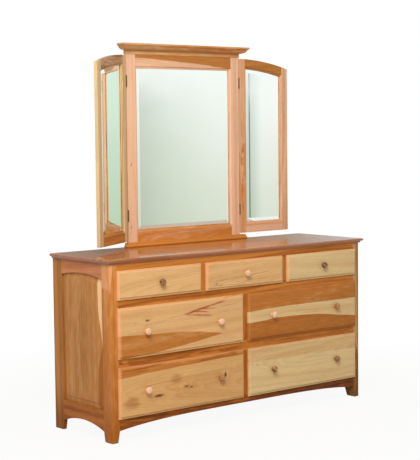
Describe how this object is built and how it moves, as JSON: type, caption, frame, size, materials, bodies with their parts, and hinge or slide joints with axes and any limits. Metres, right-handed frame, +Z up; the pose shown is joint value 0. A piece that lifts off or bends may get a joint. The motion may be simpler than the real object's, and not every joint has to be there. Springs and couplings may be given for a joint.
{
  "type": "dresser with winged mirror",
  "caption": "Wide low dresser in natural hickory with lipped drawer fronts, wooden knobs, framed sides with arched raised panels, and a crowned mirror with hinged side wings on its top.",
  "frame": {"origin": "on the floor, under the middle of the outline from the knobs to the back and from side to side", "axes": "+Z up, +X to the right along the front as seen from the front, +Y from the front to the back"},
  "size_m": [1.78, 0.553, 2.0063],
  "materials": {
    "frame": "natural hickory, honey orange, satin lacquer",
    "top": "hickory board, polished lacquer",
    "panel": "hickory panel with upright grain, satin lacquer",
    "front": "pale sapwood hickory with brown heartwood figure, satin lacquer",
    "knob": "turned hickory, satin lacquer",
    "inside": "pale maple, clear lacquer",
    "back": "plywood",
    "glass": "bevelled mirror glass",
    "hinge": "dark antique brass"
  },
  "bodies": {
    "case": {"top_board": "top", "front_post_left": "frame", "front_post_right": "frame", "back_post_left": "frame", "back_post_right": "frame", "side_top_rail_left": "frame", "side_top_rail_right": "frame", "side_bottom_rail_left": "frame", "side_bottom_rail_right": "frame", "side_panel_left": "panel", "side_panel_right": "panel", "back_panel": "back", "front_top_rail": "frame", "front_apron": "frame", "upper_drawer_frame": "frame", "middle_drawer_frame": "frame", "bottom_drawer_frame": "inside", "top_divider_left": "frame", "top_divider_right": "frame", "centre_divider": "frame", "mirror_stile_left": "frame", "mirror_stile_right": "frame", "mirror_top_rail": "frame", "mirror_bottom_rail": "frame", "mirror_crown": "frame", "mirror_base_moulding": "frame", "mirror_glass_centre": "glass", "hinge_left_upper": "hinge", "hinge_left_lower": "hinge", "hinge_right_upper": "hinge", "hinge_right_lower": "hinge"},
    "drawer_top_left": {"drawer_front_top_left": "front", "drawer_box_top_left": "inside", "knob_top_left": "knob"},
    "drawer_top_middle": {"drawer_front_top_middle": "front", "drawer_box_top_middle": "inside", "knob_top_middle": "knob"},
    "drawer_top_right": {"drawer_front_top_right": "front", "drawer_box_top_right": "inside", "knob_top_right": "knob"},
    "drawer_middle_left": {"drawer_front_middle_left": "front", "drawer_box_middle_left": "inside", "knob_middle_left_left": "knob", "knob_middle_left_right": "knob"},
    "drawer_middle_right": {"drawer_front_middle_right": "front", "drawer_box_middle_right": "inside", "knob_middle_right_left": "knob", "knob_middle_right_right": "knob"},
    "drawer_bottom_left": {"drawer_front_bottom_left": "front", "drawer_box_bottom_left": "inside", "knob_bottom_left_left": "knob", "knob_bottom_left_right": "knob"},
    "drawer_bottom_right": {"drawer_front_bottom_right": "front", "drawer_box_bottom_right": "inside", "knob_bottom_right_left": "knob", "knob_bottom_right_right": "knob"},
    "wing_left": {"wing_frame_left": "frame", "wing_glass_left": "glass"},
    "wing_right": {"wing_frame_right": "frame", "wing_glass_right": "glass"}
  },
  "joints": [
    {"name": "drawer_top_left_slide", "type": "slide", "parent": "case", "child": "drawer_top_left", "axis": [0, -1, 0], "range_m": [0, 0.34]},
    {"name": "drawer_top_middle_slide", "type": "slide", "parent": "case", "child": "drawer_top_middle", "axis": [0, -1, 0], "range_m": [0, 0.34]},
    {"name": "drawer_top_right_slide", "type": "slide", "parent": "case", "child": "drawer_top_right", "axis": [0, -1, 0], "range_m": [0, 0.34]},
    {"name": "drawer_middle_left_slide", "type": "slide", "parent": "case", "child": "drawer_middle_left", "axis": [0, -1, 0], "range_m": [0, 0.34]},
    {"name": "drawer_middle_right_slide", "type": "slide", "parent": "case", "child": "drawer_middle_right", "axis": [0, -1, 0], "range_m": [0, 0.34]},
    {"name": "drawer_bottom_left_slide", "type": "slide", "parent": "case", "child": "drawer_bottom_left", "axis": [0, -1, 0], "range_m": [0, 0.34]},
    {"name": "drawer_bottom_right_slide", "type": "slide", "parent": "case", "child": "drawer_bottom_right", "axis": [0, -1, 0], "range_m": [0, 0.34]},
    {"name": "wing_left_hinge", "type": "hinge", "parent": "case", "child": "wing_left", "pos_m": [-0.3973, 0.2545, 1.44], "axis": [0, 0, 1], "range_deg": [-31.5, 118.5]},
    {"name": "wing_right_hinge", "type": "hinge", "parent": "case", "child": "wing_right", "pos_m": [0.3973, 0.2545, 1.44], "axis": [0, 0, -1], "range_deg": [0, 150]}
  ]
}
